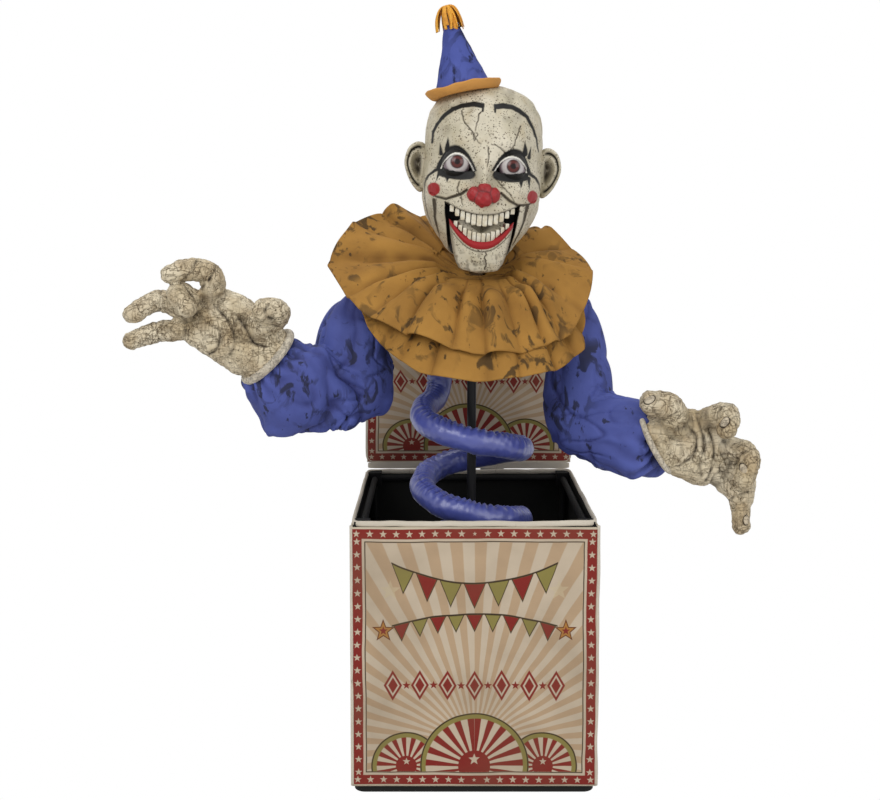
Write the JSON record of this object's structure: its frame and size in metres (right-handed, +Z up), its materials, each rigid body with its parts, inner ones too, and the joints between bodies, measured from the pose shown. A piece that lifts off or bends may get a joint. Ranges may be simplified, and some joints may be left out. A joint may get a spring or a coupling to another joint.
{
  "type": "jack in the box",
  "caption": "Weathered clown head, ruffled collar and reaching arms on a pole in an open printed fabric box, with a satin coil round the pole, turning torso and opening jaw.",
  "frame": {"origin": "middle of the base board's underside", "axes": "+Z up along the pole, -Y to the front that the face looks to, +X to the viewer's right"},
  "size_m": [0.9311, 0.4188, 1.1473],
  "materials": {
    "black_board": "matte black paint",
    "black_steel": "satin black",
    "bright_steel": "plain",
    "frame_rod": "matte",
    "printed_cloth": "printed weave, worn",
    "white_binding": "folded cotton",
    "lid_stiffener": "matte",
    "blue_satin": "gathered satin",
    "dark_plastic": "matte",
    "pale_nylon": "natural",
    "motor_case": "plain",
    "neck_steel": "satin",
    "mustard_cloth": "gathered, smeared",
    "blue_cloth": "woven, smudged",
    "painted_face": "aged bone paint with dirt",
    "painted_hand": "aged bone paint with dirt",
    "eye_gloss": "gloss",
    "red_gloss": "satin red",
    "teeth_paint": "stained",
    "hat_blue": "felt, smeared",
    "hat_mustard": "rolled cloth"
  },
  "bodies": {
    "stand": {"base_board": "black_board", "pole_flange": "black_steel", "flange_screws": "bright_steel", "lower_pole": "black_steel", "upper_pole": "black_steel", "frame_posts": "frame_rod", "corner_connectors": "frame_rod", "top_rails": "frame_rod", "front_panel": "printed_cloth", "back_panel": "printed_cloth", "left_panel": "printed_cloth", "right_panel": "printed_cloth", "rim_binding": "white_binding", "hinge_leaf": "bright_steel", "hinge_pin": "bright_steel", "satin_coil": "blue_satin", "coil_plate": "dark_plastic", "sector_gear": "pale_nylon"},
    "lid": {"lid_panel": "printed_cloth", "lid_board": "lid_stiffener", "lid_leaf": "bright_steel"},
    "torso": {"pole_bush": "pale_nylon", "housing_floor": "dark_plastic", "housing_cover": "dark_plastic", "gear_motor": "motor_case", "sound_box": "dark_plastic", "battery_box": "dark_plastic", "shoulder_bar": "bright_steel", "bar_clamps": "dark_plastic", "shoulder_clevises": "dark_plastic", "shoulder_pins": "bright_steel", "neck_tee": "dark_plastic", "neck_post": "neck_steel", "neck_band": "mustard_cloth", "collar_upper": "mustard_cloth", "collar_lower": "mustard_cloth", "shirt_yoke": "blue_cloth"},
    "pinion": {"drive_pinion": "pale_nylon"},
    "head": {"neck_bush": "pale_nylon", "head_shell": "painted_face", "left_eye": "eye_gloss", "right_eye": "eye_gloss", "jaw_pin": "bright_steel", "jaw_motor": "dark_plastic", "clown_nose": "red_gloss", "upper_teeth": "teeth_paint", "hat_cone": "hat_blue", "hat_brim": "hat_mustard", "hat_tassel": "hat_mustard"},
    "jaw": {"jaw": "painted_face", "lower_teeth": "teeth_paint"},
    "left_arm": {"left_arm_rod": "bright_steel", "left_hand": "painted_hand", "left_forearm_sleeve": "blue_cloth", "left_upper_sleeve": "blue_cloth"},
    "right_arm": {"right_arm_rod": "bright_steel", "right_hand": "painted_hand", "right_forearm_sleeve": "blue_cloth", "right_upper_sleeve": "blue_cloth"}
  },
  "joints": [
    {"name": "lid_hinge", "type": "hinge", "parent": "stand", "child": "lid", "pos_m": [0, 0.1795, 0.398], "axis": [-1, 0, 0], "range_deg": [-4, 70]},
    {"name": "torso_turn", "type": "hinge", "parent": "stand", "child": "torso", "pos_m": [0, 0, 0.62], "axis": [0, 0, 1], "range_deg": [-25, 25]},
    {"name": "pinion_spin", "type": "hinge", "parent": "torso", "child": "pinion", "pos_m": [0, 0.048, 0.61], "axis": [0, 0, 1], "range_deg": [-80, 80]},
    {"name": "head_turn", "type": "hinge", "parent": "torso", "child": "head", "pos_m": [0.009, 0, 0.77], "axis": [0.0523, 0, 0.9986], "range_deg": [-18, 18]},
    {"name": "jaw_open", "type": "hinge", "parent": "head", "child": "jaw", "pos_m": [0.01308, 0.002, 0.84789], "axis": [0.9986, 0, -0.0523], "range_deg": [-1.5, 6]},
    {"name": "left_shoulder", "type": "hinge", "parent": "torso", "child": "left_arm", "pos_m": [-0.155, 0, 0.689], "axis": [0, 1, 0], "range_deg": [-2, 14]},
    {"name": "right_shoulder", "type": "hinge", "parent": "torso", "child": "right_arm", "pos_m": [0.155, 0, 0.689], "axis": [0, -1, 0], "range_deg": [-2, 14]}
  ],
  "couplings": [
    {"joint": "pinion_spin", "follows": "torso_turn", "ratio": 3}
  ]
}
